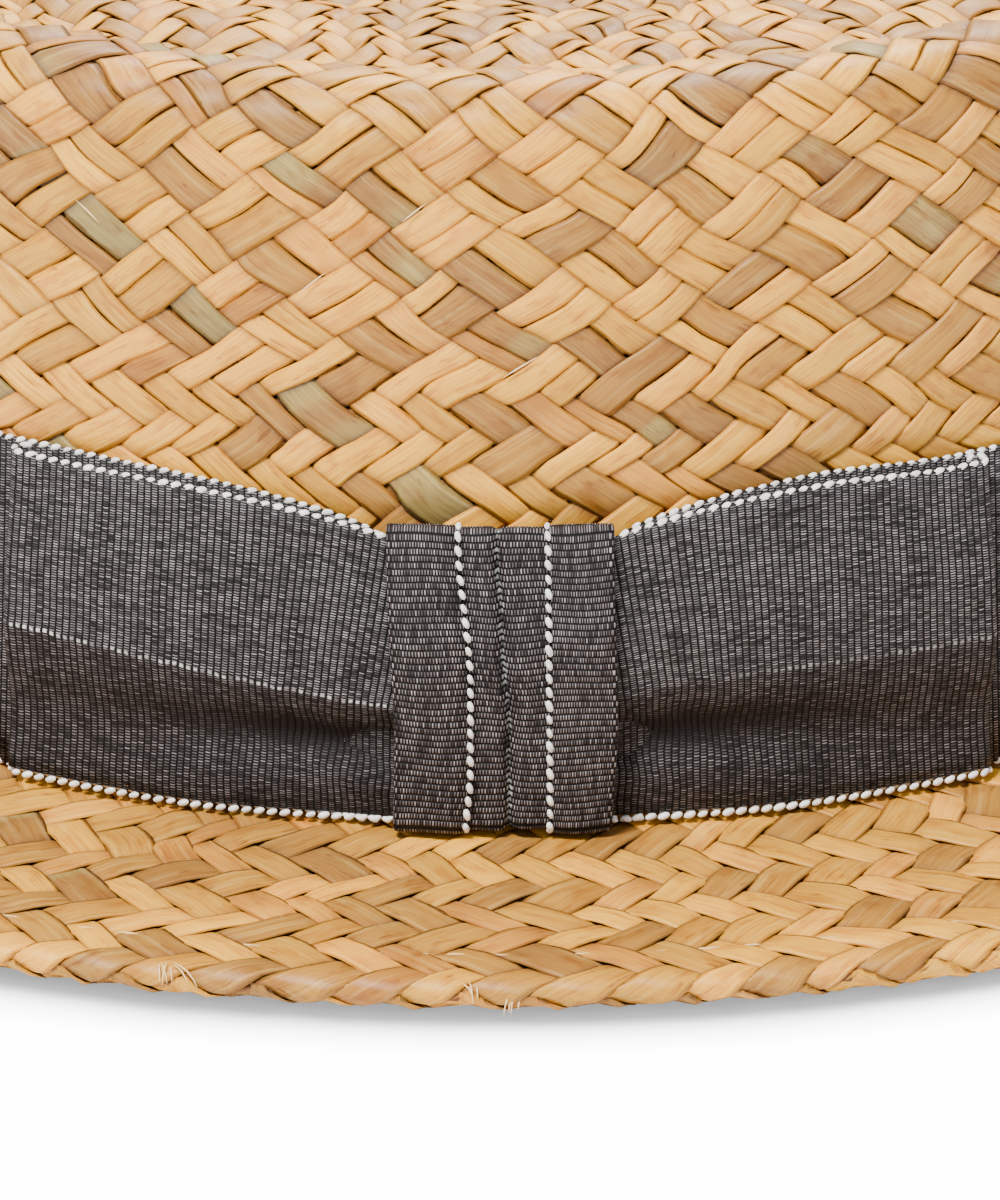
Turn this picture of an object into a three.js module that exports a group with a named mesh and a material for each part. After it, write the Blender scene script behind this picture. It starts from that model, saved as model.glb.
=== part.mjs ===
// Boater hat of plaited straw with a ribbon band and a flat bow.
// Millimetres, +Z up. The origin is on the table under the middle of the hat, +X runs along the
// hat's long axis, and the bow faces -Y. The crown and the brim are plaited as one piece, and the
// brim's edge is folded under as a hem. The band, the bow's loops and the knot are three ribbons.

import * as THREE from 'three';

// Driving sizes of the straw body
const crownLength = 204; // outside, at the foot of the crown, along X
const crownWidth = 170; // outside, at the foot of the crown, along Y
const crownHeight = 84; // from the brim's top face to the tip
const crownLean = 5; // how far the wall leans in, from foot to tip
const tipEdgeRadius = 7;
const brimWidth = 43;
const hemWidth = 11; // the part of the brim that is folded under
const hemThickness = 3.9; // the brim and the hem folded under it
const strawWall = 1.8;
const innerFootRadius = 2;

// Driving sizes of the ribbons
const ribbonWidth = 40;
const ribbonWall = 1;
const pieceGap = 0.3; // clearance between pieces that touch
const bandDip = 3; // how far the knot pulls the band's top edge down
const bandDipReach = 56; // from the knot's middle to where the band has its full width
const bowReach = 54; // from the knot's middle to the fold of each loop
const loopDepth = 5; // from the band to the front of a loop, where the loop is fullest
const foldDepth = 3.6; // the same at the fold of a loop
const dentDepth = 1.7; // depth of the long dent that the knot pulls into the front of a loop
const dentLevel = 0.4; // share of the ribbon's width at which the dent is deepest
const dentHalfWidth = 0.25; // as a share of the ribbon's width
const knotWidth = 25;
const gatheredWidth = 32.4; // the bow stays gathered a little beyond the knot's sides
const knotHeight = 37.2;
const knotBulge = 0.8; // how far the knot's front swells at mid height
const flapWidth = 7.3; // width of each folded-in side of the knot
const flapWall = 0.8; // how far a folded-in side stands proud of the middle
const backFlapWall = 0.1; // the same behind the bow, where the sides are pressed flat
const knotCorner = 0.8; // radius of the knot's turns over and under the bow

// Fineness
const segmentsAround = 72;
const segmentsOfEdge = 4;
const segmentsOfHem = 6;
const segmentsOfFoot = 3;
const segmentsOfFold = 4;
const segmentsAlongBow = 26;
const segmentsOfKnotLeg = 6;
const segmentsOfKnotCorner = 2;
const segmentsOfKnotFace = 6;
const segmentsOfFlap = 2;
const rowsAcrossRibbon = 6;

// Levels and half sizes that follow from the driving sizes
const halfLength = crownLength / 2;
const halfWidth = crownWidth / 2;
const brimTop = hemThickness;
const brimUnderside = brimTop - strawWall;
const tipTop = brimTop + crownHeight;
const wallTop = tipTop - tipEdgeRadius;
const hemRadius = hemThickness / 2;
const ribbonFoot = brimTop + pieceGap;
const quarterTurn = Math.PI / 2;

const straw = new THREE.MeshStandardMaterial({ color: 0xd9b27c, roughness: 0.62, metalness: 0 });
const bandRibbon = new THREE.MeshStandardMaterial({
  color: 0x4a4749,
  roughness: 0.85,
  metalness: 0,
});
const loopRibbon = bandRibbon.clone();
const knotRibbon = bandRibbon.clone();

// How far the crown's wall has leaned in at a height
function leanAt(z) {
  return (-crownLean * (z - brimTop)) / (wallTop - brimTop);
}

// A point of the crown's oval, moved out from the foot of the wall by offset
function ovalPoint(angle, offset, z) {
  return new THREE.Vector3(
    (halfLength + offset) * Math.cos(angle),
    (halfWidth + offset) * Math.sin(angle),
    z,
  );
}

// A point in front of the band: across from the knot's middle, out from the band's face, at a height
function bandPoint(across, out, z) {
  const offset = leanAt(z) + pieceGap + ribbonWall + out;
  const angle = Math.asin(across / halfLength) - quarterTurn;
  return ovalPoint(angle, offset, z);
}

function ease(low, high, value) {
  return THREE.MathUtils.smoothstep(value, low, high);
}

// Six times the volume, positive where the faces point out
function signedVolume(points, faces) {
  return faces.reduce(
    (sum, [a, b, c]) => sum + points[a].dot(points[b].clone().cross(points[c])),
    0,
  );
}

// A closed body through rings of points. Where ends are given, each is the middle point that closes
// the first or last ring. Without them the last ring is joined to the first.
function loft(rings, ends) {
  const count = rings[0].length;
  const points = rings.flat();
  const faces = [];
  const joints = ends ? rings.length - 1 : rings.length;
  for (let r = 0; r < joints; r++) {
    const next = (r + 1) % rings.length;
    for (let i = 0; i < count; i++) {
      const j = (i + 1) % count;
      const [a, b] = [r * count + i, r * count + j];
      const [c, d] = [next * count + i, next * count + j];
      faces.push([a, b, d], [a, d, c]);
    }
  }
  if (ends) {
    const [first, last] = [points.length, points.length + 1];
    const lastRing = (rings.length - 1) * count;
    points.push(...ends);
    for (let i = 0; i < count; i++) {
      const j = (i + 1) % count;
      faces.push([first, j, i], [last, lastRing + i, lastRing + j]);
    }
  }
  if (signedVolume(points, faces) < 0) faces.forEach((face) => face.reverse());
  const geometry = new THREE.BufferGeometry();
  geometry.setAttribute(
    'position',
    new THREE.Float32BufferAttribute(points.flatMap((p) => p.toArray()), 3),
  );
  geometry.setIndex(faces.flat());
  geometry.computeVertexNormals();
  return geometry;
}

// Points of an arc, as pairs of a first and a second coordinate, from one angle to another
function arc(first, second, radius, from, to, segments) {
  return Array.from({ length: segments + 1 }, (_, i) => {
    const angle = THREE.MathUtils.lerp(from, to, i / segments);
    return [first + radius * Math.cos(angle), second + radius * Math.sin(angle)];
  });
}

// Plaited straw body: the outline runs from the tip down the outside, round the hem and back inside
function plaitedBody() {
  const edge = -crownLean - tipEdgeRadius;
  const rim = brimWidth - hemRadius;
  const footOffset = innerFootRadius - strawWall;
  const footLevel = brimUnderside + innerFootRadius;
  const outline = [
    ...arc(edge, wallTop, tipEdgeRadius, quarterTurn, 0, segmentsOfEdge),
    [0, brimTop],
    ...arc(rim, hemRadius, hemRadius, quarterTurn, -quarterTurn, segmentsOfHem),
    [brimWidth - hemWidth, 0],
    [brimWidth - hemWidth, brimUnderside],
    ...arc(footOffset, footLevel, innerFootRadius, -quarterTurn, -Math.PI, segmentsOfFoot),
    ...arc(edge, wallTop, tipEdgeRadius - strawWall, 0, quarterTurn, segmentsOfEdge),
  ];
  const rings = outline.map(([offset, z]) =>
    Array.from({ length: segmentsAround }, (_, i) =>
      ovalPoint((2 * Math.PI * i) / segmentsAround, offset, z),
    ),
  );
  const ends = [new THREE.Vector3(0, 0, tipTop), new THREE.Vector3(0, 0, tipTop - strawWall)];
  return loft(rings, ends);
}

// How far down the band's top edge is pulled, at a distance from the knot's middle
function bandDipAt(across) {
  return bandDip * (1 - ease(knotWidth / 2, bandDipReach, across));
}

// Ribbon band: an upright strip that goes round the foot of the crown and dips behind the bow
function band() {
  const rings = Array.from({ length: segmentsAround }, (_, i) => {
    const angle = (2 * Math.PI * i) / segmentsAround;
    const inFront = Math.sin(angle) < 0;
    const across = inFront ? Math.abs(halfLength * Math.cos(angle)) : bandDipReach;
    const top = ribbonFoot + ribbonWidth - bandDipAt(across);
    return [
      [pieceGap, ribbonFoot],
      [pieceGap + ribbonWall, ribbonFoot],
      [pieceGap + ribbonWall, top],
      [pieceGap, top],
    ].map(([out, z]) => ovalPoint(angle, leanAt(z) + out, z));
  });
  return loft(rings);
}

// Layers of ribbon at the knot, outwards from the band, each given at the middle of its thickness
const knotBack = pieceGap + ribbonWall / 2;
const loopBack = knotBack + ribbonWall + pieceGap;
const loopFront = loopBack + ribbonWall + pieceGap;
const knotFront = loopFront + ribbonWall + pieceGap;

// Height of a point of the bow. The knot gathers the ribbon, which has its full width at the folds.
function loopLevel(across, share) {
  const free = ease(gatheredWidth / 2, bowReach, Math.abs(across));
  const gatheredLow = ribbonFoot + ribbonWall + pieceGap;
  const gatheredHigh = ribbonFoot + knotHeight - ribbonWall - pieceGap;
  const low = THREE.MathUtils.lerp(gatheredLow, ribbonFoot, free);
  const high = THREE.MathUtils.lerp(gatheredHigh, ribbonFoot + ribbonWidth - ribbonWall, free);
  return THREE.MathUtils.lerp(low, high, share);
}

// From 0 where the knot holds the bow to 1 a knot's width from its middle
function looseness(across) {
  return ease(gatheredWidth / 2, knotWidth, Math.abs(across));
}

// The bow's back layer comes to the band beside the knot
function backOut(across) {
  return THREE.MathUtils.lerp(loopBack, knotBack, looseness(across));
}

// The bow's front layer is fullest a little way out from the knot and thinner at the fold
function frontOut(across, share) {
  const swell = looseness(across);
  const thinning = ease(knotWidth, bowReach, Math.abs(across));
  const fullest = loopDepth - ribbonWall / 2;
  const surface = THREE.MathUtils.lerp(loopFront, fullest, swell);
  const dent = Math.max(0, 1 - Math.abs(share - dentLevel) / dentHalfWidth);
  return surface - (loopDepth - foldDepth) * thinning - dentDepth * swell * (1 - thinning) * dent;
}

// The points round a strip's section. middle gives the strip's middle surface from a share of its
// width, and normal is the direction of its thickness.
function stripSection(middle, normal) {
  const face = (side) =>
    Array.from({ length: rowsAcrossRibbon + 1 }, (_, i) => {
      const { across, out, z } = middle(i / rowsAcrossRibbon);
      const half = (side * ribbonWall) / 2;
      return bandPoint(across + half * normal.across, out + half * normal.out, z);
    });
  return [...face(1), ...face(-1).reverse()];
}

// Bow loops: one ribbon, in front to the right fold, behind to the left fold and back to the front
function bowLoops() {
  const foldRadius = (foldDepth - ribbonWall / 2 - knotBack) / 2;
  const foldStart = bowReach - foldRadius - ribbonWall / 2;
  const layer = (across, outAt, side) =>
    stripSection(
      (share) => ({ across, out: outAt(across, share), z: loopLevel(across, share) }),
      { across: 0, out: side },
    );
  const fold = (side, angle) => {
    const normal = { across: side * Math.cos(angle), out: Math.sin(angle) };
    const across = side * foldStart + foldRadius * normal.across;
    const out = knotBack + foldRadius * (1 + normal.out);
    return stripSection((share) => ({ across, out, z: loopLevel(across, share) }), normal);
  };
  const steps = Array.from({ length: segmentsAlongBow + 1 }, (_, i) =>
    THREE.MathUtils.lerp(-foldStart, foldStart, i / segmentsAlongBow),
  );
  const turns = Array.from(
    { length: segmentsOfFold - 1 },
    (_, i) => quarterTurn - (Math.PI * (i + 1)) / segmentsOfFold,
  );
  return loft([
    ...steps.map((across) => layer(across, frontOut, 1)),
    ...turns.map((angle) => fold(1, angle)),
    ...steps.toReversed().map((across) => layer(across, backOut, -1)),
    ...turns.toReversed().map((angle) => fold(-1, angle)),
  ]);
}

// The knot's route round the bow's middle: points of height, out and the direction of its thickness
function knotRoute() {
  const low = ribbonFoot + ribbonWall / 2;
  const high = ribbonFoot + knotHeight - ribbonWall / 2;
  const corners = [
    { z: high - knotCorner, out: knotFront - knotCorner, from: 0 },
    { z: high - knotCorner, out: knotBack + knotCorner, from: quarterTurn },
    { z: low + knotCorner, out: knotBack + knotCorner, from: 2 * quarterTurn },
    { z: low + knotCorner, out: knotFront - knotCorner, from: 3 * quarterTurn },
  ];
  const turns = corners.map(({ z, out, from }) =>
    arc(out, z, knotCorner, from, from + quarterTurn, segmentsOfKnotCorner).map(
      ([outAt, zAt], i) => {
        const angle = from + (quarterTurn * i) / segmentsOfKnotCorner;
        return { z: zAt, out: outAt, normal: { out: Math.cos(angle), z: Math.sin(angle) }, front: 0 };
      },
    ),
  );
  const legs = Array.from({ length: segmentsOfKnotLeg - 1 }, (_, i) => {
    const share = (i + 1) / segmentsOfKnotLeg;
    const z = THREE.MathUtils.lerp(low + knotCorner, high - knotCorner, share);
    const front = Math.sin(Math.PI * share);
    return { z, out: knotFront + knotBulge * front, normal: { out: 1, z: 0 }, front: 1 };
  });
  return [...legs, ...turns.flat()];
}

// Knot: a strip of the ribbon with both sides folded in, wrapped round the bow's middle
function knot() {
  const half = knotWidth / 2;
  const flapEdge = half - flapWidth;
  const face = (from, to, proud, segments) =>
    Array.from({ length: segments + 1 }, (_, i) => [
      THREE.MathUtils.lerp(from, to, i / segments),
      proud,
    ]);
  const rings = knotRoute().map(({ z, out, normal, front }) => {
    const outer = ribbonWall / 2;
    const flap = outer + THREE.MathUtils.lerp(backFlapWall, flapWall, front);
    return [
      ...face(-half, half, -outer, segmentsOfKnotFace),
      ...face(half, flapEdge, flap, segmentsOfFlap),
      ...face(flapEdge, -flapEdge, outer, segmentsOfFlap),
      ...face(-flapEdge, -half, flap, segmentsOfFlap),
    ].map(([across, proud]) => bandPoint(across, out + proud * normal.out, z + proud * normal.z));
  });
  return loft(rings);
}

function piece(name, geometry, material) {
  const mesh = new THREE.Mesh(geometry, material);
  mesh.name = name;
  return mesh;
}

const hat = new THREE.Group();
hat.add(
  piece('straw_body', plaitedBody(), straw),
  piece('ribbon_band', band(), bandRibbon),
  piece('bow_loops', bowLoops(), loopRibbon),
  piece('bow_knot', knot(), knotRibbon),
);

export default hat;
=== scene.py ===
import math

import bpy
import numpy as np
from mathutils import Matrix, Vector


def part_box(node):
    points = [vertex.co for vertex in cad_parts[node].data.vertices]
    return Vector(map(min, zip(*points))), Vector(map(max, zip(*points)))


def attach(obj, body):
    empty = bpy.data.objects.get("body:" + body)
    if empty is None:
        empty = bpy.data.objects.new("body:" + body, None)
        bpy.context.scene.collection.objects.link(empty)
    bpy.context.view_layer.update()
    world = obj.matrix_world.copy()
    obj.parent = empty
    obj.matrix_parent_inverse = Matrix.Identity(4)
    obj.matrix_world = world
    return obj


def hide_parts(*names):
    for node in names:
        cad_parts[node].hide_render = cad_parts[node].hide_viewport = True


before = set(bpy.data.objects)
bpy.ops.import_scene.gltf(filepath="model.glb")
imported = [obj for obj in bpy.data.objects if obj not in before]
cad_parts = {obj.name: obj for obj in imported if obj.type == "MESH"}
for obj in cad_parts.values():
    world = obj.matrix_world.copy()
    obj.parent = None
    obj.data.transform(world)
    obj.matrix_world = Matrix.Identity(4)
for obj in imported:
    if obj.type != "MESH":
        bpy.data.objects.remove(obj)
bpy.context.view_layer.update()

MM = 0.001

# View: the camera stands in front of the bow and looks down on it, close enough that only the
# middle of the hat shows.
VIEW_ELEVATION = math.radians(24)
VIEW_DISTANCE = 1.1
AIM_LEVEL = 32.0 * MM
AIM_BEHIND_KNOT = 3.5 * MM
FRAME_HEIGHT = 132.6 * MM
SENSOR = 36.0

aim = Vector((0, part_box("bow_knot")[0].y + AIM_BEHIND_KNOT, AIM_LEVEL))
towards = Vector((0, math.cos(VIEW_ELEVATION), -math.sin(VIEW_ELEVATION)))
camera = bpy.data.objects.new("camera", bpy.data.cameras.new("camera"))
bpy.context.scene.collection.objects.link(camera)
camera.location = aim - VIEW_DISTANCE * towards
camera.rotation_mode = "QUATERNION"
camera.rotation_quaternion = towards.to_track_quat("-Z", "Y")
camera.data.sensor_width = SENSOR
camera.data.lens = SENSOR * VIEW_DISTANCE / FRAME_HEIGHT
camera.data.clip_start = 0.05
camera.data.clip_end = 20
bpy.context.scene.camera = camera

# Crown straws: the crown is plaited from flat natural straws about 3.5 mm wide. Half of them lean
# to the right and half to the left. They start on the tip, turn over its edge and run down the
# wall to the brim, in pairs over pairs above and in a fine herringbone towards the band.
RIBBON_GAP = 0.3 * MM
RIBBON_WALL = 1.0 * MM
CROWN_LEAN = 5.0 * MM
TIP_EDGE_RADIUS = 7.0 * MM
STRAW_SETTING = 0.75 * MM  # depth of the plait's middle under its outer face
STRAW_THICKNESS = 0.36 * MM
STRAW_RISE = 0.29 * MM  # a straw's middle lies this far over or under the plait's middle
CROWN_STRAWS = 96
CROWN_STRAW_WIDTH = 3.45 * MM
TIP_REACH = 9.0 * MM  # how far in from its edge the crown's straws start on the tip
CROWN_FOOT = 1.0 * MM  # the crown's straws end this far over the brim
FIRST_ROW = 0.75  # straws start and end this many rows inside the ends of their outline
OUTLINE_STEP = 0.05 * MM
FLATTEST = 0.93  # a straw never lies flatter than this: the sine of its slope from upright
ROW_STEP = 0.25
ROWS_PER_CROSSING = (-0.17, 0.17, 0.5)

band_low, band_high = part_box("ribbon_band")
body_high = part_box("straw_body")[1]
oval = np.array([band_high.x, band_high.y]) - RIBBON_GAP - RIBBON_WALL
brim_top = band_low.z - RIBBON_GAP
wall_top = body_high.z - TIP_EDGE_RADIUS


class Field:
    """A value that changes over a surface, in a node tree. Sums of fields read like sums."""

    def __init__(self, tree, socket):
        self.tree = tree
        self.socket = socket

    def calc(self, operation, *others):
        node = self.tree.nodes.new("ShaderNodeMath")
        node.operation = operation
        for socket, value in zip(node.inputs, (self, *others)):
            plug(self.tree, value, socket)
        return Field(self.tree, node.outputs[0])

    def __add__(self, other):
        return self.calc("ADD", other)

    def __sub__(self, other):
        return self.calc("SUBTRACT", other)

    def __mul__(self, other):
        return self.calc("MULTIPLY", other)

    def __truediv__(self, other):
        return self.calc("DIVIDE", other)

    def wrap(self, length):
        return self.calc("FLOORED_MODULO", length)

    def floor(self):
        return self.calc("FLOOR")

    def ease(self, low, high):
        """0 below low, 1 above high, smooth between."""
        node = add(self.tree, "ShaderNodeMapRange", interpolation_type="SMOOTHSTEP")
        for name, value in (("Value", self), ("From Min", low), ("From Max", high)):
            plug(self.tree, value, node.inputs[name])
        return Field(self.tree, node.outputs[0])

    def mix(self, first, second):
        """first where this field is 0 and second where it is 1."""
        return (self * -1 + 1) * first + self * second


def plug(tree, value, socket):
    if isinstance(value, Field):
        tree.links.new(value.socket, socket)
    elif isinstance(value, bpy.types.NodeSocket):
        tree.links.new(value, socket)
    else:
        socket.default_value = value


def add(tree, kind, values=(), **settings):
    """A new node. values holds pairs of an input's name or number and what goes into it."""
    node = tree.nodes.new(kind)
    for key, value in settings.items():
        setattr(node, key, value)
    for key, value in values:
        if isinstance(key, str):
            socket = next(s for s in node.inputs if s.name == key and s.enabled)
        else:
            socket = node.inputs[key]
        plug(tree, value, socket)
    return node


def result(node, name=None):
    sockets = [s for s in node.outputs if s.enabled and name in (None, s.name)]
    return Field(node.id_data, sockets[0])


def vector(tree, x, y, z):
    return result(add(tree, "ShaderNodeCombineXYZ", ((0, x), (1, y), (2, z))))


def parts(tree, socket):
    node = add(tree, "ShaderNodeSeparateXYZ", ((0, socket),))
    return [Field(tree, s) for s in node.outputs]


def new_tree(name, inputs):
    """A Geometry Nodes tree with a geometry input and output and the named inputs."""
    tree = bpy.data.node_groups.new(name, "GeometryNodeTree")
    tree.interface.new_socket("Geometry", in_out="INPUT", socket_type="NodeSocketGeometry")
    tree.interface.new_socket("Geometry", in_out="OUTPUT", socket_type="NodeSocketGeometry")
    for label, kind in inputs:
        tree.interface.new_socket(label, in_out="INPUT", socket_type="NodeSocket" + kind)
    tree.nodes.new("NodeGroupInput")
    return tree


def given(tree, name):
    source = next(n for n in tree.nodes if n.bl_idname == "NodeGroupInput")
    return Field(tree, source.outputs[name])


def finish_tree(tree, geometry):
    """Ends a tree: instances become real, faces are smooth, and the material is set."""
    real = result(add(tree, "GeometryNodeRealizeInstances", (("Geometry", geometry),)))
    smooth = result(add(tree, "GeometryNodeSetShadeSmooth", (("Geometry", real),)))
    material = given(tree, "Material")
    done = add(tree, "GeometryNodeSetMaterial", (("Geometry", smooth), ("Material", material)))
    output = tree.nodes.new("NodeGroupOutput")
    tree.links.new(done.outputs[0], output.inputs[0])


def grow(name, mesh, tree, values):
    """Runs a tree on a mesh and returns its result as a plain object."""
    seed = bpy.data.objects.new(name + "_seed", mesh)
    bpy.context.scene.collection.objects.link(seed)
    modifier = seed.modifiers.new("grow", "NODES")
    modifier.node_group = tree
    for label, value in values.items():
        modifier[tree.interface.items_tree[label].identifier] = value
    seed.update_tag()
    bpy.context.view_layer.update()
    grown = seed.evaluated_get(bpy.context.evaluated_depsgraph_get())
    made = bpy.data.objects.new(name, bpy.data.meshes.new_from_object(grown))
    bpy.data.objects.remove(seed)
    bpy.context.scene.collection.objects.link(made)
    return made


def settle(piece, slot, *nodes):
    """A finished piece rides on the hat and stands for its solids. slot is not used."""
    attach(piece, "root")
    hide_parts(*nodes)
    return piece


def arc(centre, radius, start, end):
    """Points of an arc in an outline of offset and height."""
    angles = np.radians(np.linspace(start, end, 40))
    return [(centre[0] + radius * math.cos(a), centre[1] + radius * math.sin(a)) for a in angles]


def girth(offset):
    """The way round the oval, at an offset from the foot of the crown."""
    a, b = oval[0] + offset, oval[1] + offset
    return math.pi * (3 * (a + b) - np.sqrt((3 * a + b) * (a + 3 * b)))


def plait_outline(name, corners, straws, width):
    """A line of points along an outline, one for each ROW_STEP rows of a plait. The straws keep
    their width, so they lean more where the way round the hat grows."""
    corners = np.array(corners)
    lengths = np.r_[0, np.cumsum(np.linalg.norm(np.diff(corners, axis=0), axis=1))]
    along = np.arange(0, lengths[-1], OUTLINE_STEP)
    points = np.stack([np.interp(along, lengths, corners[:, k]) for k in (0, 1)], axis=1)
    flat = np.minimum(width * straws / girth(points[:, 0]), FLATTEST)
    rows = np.r_[0, np.cumsum(np.sqrt(1 - flat[1:] ** 2) / width * OUTLINE_STEP)]
    steps = np.arange(0, rows[-1], ROW_STEP)
    placed = np.stack([np.interp(steps, rows, points[:, k]) for k in (0, 1)], axis=1)
    tangent = np.gradient(placed, axis=0)
    tangent /= np.linalg.norm(tangent, axis=1)[:, None]
    mesh = bpy.data.meshes.new(name)
    mesh.from_pydata([(x, 0, z) for x, z in placed], [], [])
    outward = mesh.attributes.new("outward", "FLOAT_VECTOR", "POINT")
    outward.data.foreach_set("vector", [n for x, z in tangent for n in (-z, 0, x)])
    line = bpy.data.objects.new(name, mesh)
    return line, rows[-1]


def straight_straw(crossings):
    """One flat straw, closed at both ends, before it is plaited: a unit long for each crossing,
    from -1 to 1 across, and from -1 to 1 thick."""
    section = ((-1, 0), (-0.72, 0.9), (0.72, 0.9), (1, 0), (0.72, -0.9), (-0.72, -0.9))
    rows = [k + share for k in range(crossings) for share in ROWS_PER_CROSSING if k + share > 0]
    rows = [0.05, *rows, crossings - 0.05]
    points = [(t, v, g) for t in rows for v, g in section]
    sides = len(section)
    faces = []
    for r in range(len(rows) - 1):
        for k in range(sides):
            j = (k + 1) % sides
            a, b = r * sides, (r + 1) * sides
            faces.append((a + j, a + k, b + k, b + j))
    faces.append(tuple(range(sides)))
    faces.append(tuple(range(len(points) - sides, len(points)))[::-1])
    mesh = bpy.data.meshes.new("straight_straw")
    mesh.from_pydata(points, [], faces)
    grain = mesh.uv_layers.new(name="grain")
    for loop in mesh.loops:
        t, v, _ = points[loop.vertex_index]
        grain.data[loop.index].uv = (t, v)
    return mesh


def jitter(tree, number, seed, amount):
    """A random value from minus to plus an amount, the same each time for the same number."""
    pick = add(tree, "FunctionNodeRandomValue", (("Min", -1.0), ("ID", number), ("Seed", seed)))
    return result(pick) * amount


def uneven(tree, place, around, seed, amount):
    """A place counted in even straws becomes a place among straws of uneven width."""
    low = place.floor()
    share = place - low
    first = jitter(tree, low.wrap(around), seed, amount)
    second = jitter(tree, (low + 1).wrap(around), seed, amount)
    return place + share.mix(first, second)


def passes_over(right, left, change):
    """1 where straw number right lies over straw number left, else -1."""
    pairs = ((right / 2).floor() + (left / 2).floor()).wrap(2)
    twill = ((right - left).wrap(4) / 2).floor()
    fine = ((right - left) / 2).calc("GREATER_THAN", change)
    return fine.mix(pairs, twill) * -2 + 1


def wave_of(tree, own, other, lay, change):
    """Height of a straw from -1 to 1, as it goes over and under the straws of the other lay."""
    before = (other - 0.5).floor()
    share = other - 0.5 - before

    def height(number):
        right = (lay * 0.5 + 0.5).mix(number, own)
        left = (lay * 0.5 + 0.5).mix(own, number)
        return passes_over(right, left, change) * lay

    first, second = height(before), height(before + 1)
    turn = share.ease(0.14, 0.86)
    arch = (first + second) * (share * (share * -1 + 1)) * given(tree, "Arch")
    return turn.mix(first, second) + arch


def bundle(tree, count):
    """Copies of the straw that comes in, each with its number kept as an attribute."""
    line = add(tree, "GeometryNodeMeshLine", (("Count", count), ("Offset", (0, 0, 0))))
    line_points = add(tree, "GeometryNodeInstanceOnPoints", (("Points", result(line)),))
    plug(tree, given(tree, "Geometry"), line_points.inputs["Instance"])
    numbered = add(
        tree,
        "GeometryNodeStoreNamedAttribute",
        (("Name", "straw"), ("Value", add(tree, "GeometryNodeInputIndex").outputs[0])),
        data_type="FLOAT",
        domain="INSTANCE",
    )
    plug(tree, result(line_points), numbered.inputs["Geometry"])
    return result(add(tree, "GeometryNodeRealizeInstances", (("Geometry", result(numbered)),)))


def keep(tree, geometry, name, value):
    """Keeps a value on the points as an attribute, for the material."""
    stored = add(
        tree,
        "GeometryNodeStoreNamedAttribute",
        (("Geometry", geometry), ("Name", name), ("Value", value)),
        data_type="FLOAT",
        domain="POINT",
    )
    return result(stored)


def named(tree, name):
    return result(add(tree, "GeometryNodeInputNamedAttribute", (("Name", name),), data_type="FLOAT"))


def unevenness(tree, place, scale, amount, offset):
    """A soft random value that changes over a place in space."""
    noise = add(tree, "ShaderNodeTexNoise", (("Vector", place), ("Scale", scale)))
    noise.inputs["Detail"].default_value = 1
    return (result(noise) + offset) * amount


def worn_edge(tree, straw, along, across, seed):
    """How much of its width a straw fills, different for each straw and a little along it."""
    place = vector(tree, straw * 7.1, along * 0.7, across * 2.5)
    return jitter(tree, straw, seed, 0.06) + unevenness(tree, place, 1.0, 0.35, -0.5) + 1


PLAIT_INPUTS = (
    ("Straws", "Int"),
    ("Crossings", "Float"),
    ("Lay", "Float"),
    ("Fill", "Float"),
    ("Uneven Width", "Float"),
    ("Thickness", "Float"),
    ("Rise", "Float"),
    ("Arch", "Float"),
    ("Half Length", "Float"),
    ("Half Width", "Float"),
    ("Own Seed", "Int"),
    ("Other Seed", "Int"),
    ("Least Tint", "Float"),
    ("Material", "Material"),
)
ROUND_PLAIT_INPUTS = (
    *PLAIT_INPUTS,
    ("First Row", "Float"),
    ("Fine Rows From", "Float"),
    ("Tuck", "Float"),
    ("Outline", "Object"),
)


def tint_of(tree, straw):
    """Each straw's own tone, from the least tint to 1. The greenest straws are near -1."""
    spread = given(tree, "Least Tint") * -0.5 + 0.5
    return jitter(tree, straw, given(tree, "Own Seed"), 1) * spread - spread + 1


def own_place(tree, straw, other, across):
    """The place of a point among the straws of its own lay."""
    edge = worn_edge(tree, straw, other, across, given(tree, "Own Seed"))
    return straw + 0.5 + across * edge * given(tree, "Fill") * 0.5


def height_in_plait(tree, straw, other, across, thick, change):
    """A point's height over the plait's middle, and the wave of its straw from -1 to 1."""
    wave = wave_of(tree, straw, other, given(tree, "Lay"), change)
    float_place = vector(tree, straw * 3.7, other * 0.45, given(tree, "Own Seed"))
    lift = unevenness(tree, float_place, 1.0, 0.5, -0.5)
    lean_place = vector(tree, straw * 5.3, other * 0.6, given(tree, "Other Seed"))
    lean = unevenness(tree, lean_place, 1.0, 0.9, -0.5) * across
    height = (wave + lift + lean) * given(tree, "Rise") + thick * given(tree, "Thickness") / 2
    return height, wave


def lay_straws(tree, straw, wave, place):
    """Moves all the points of the straws to their place and keeps what the material needs."""
    geometry = bundle(tree, given(tree, "Straws"))
    geometry = keep(tree, geometry, "rise", wave)
    geometry = keep(tree, geometry, "tint", tint_of(tree, straw))
    moved = add(tree, "GeometryNodeSetPosition", (("Geometry", geometry),))
    plug(tree, place, moved.inputs["Position"])
    return result(moved)


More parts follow.
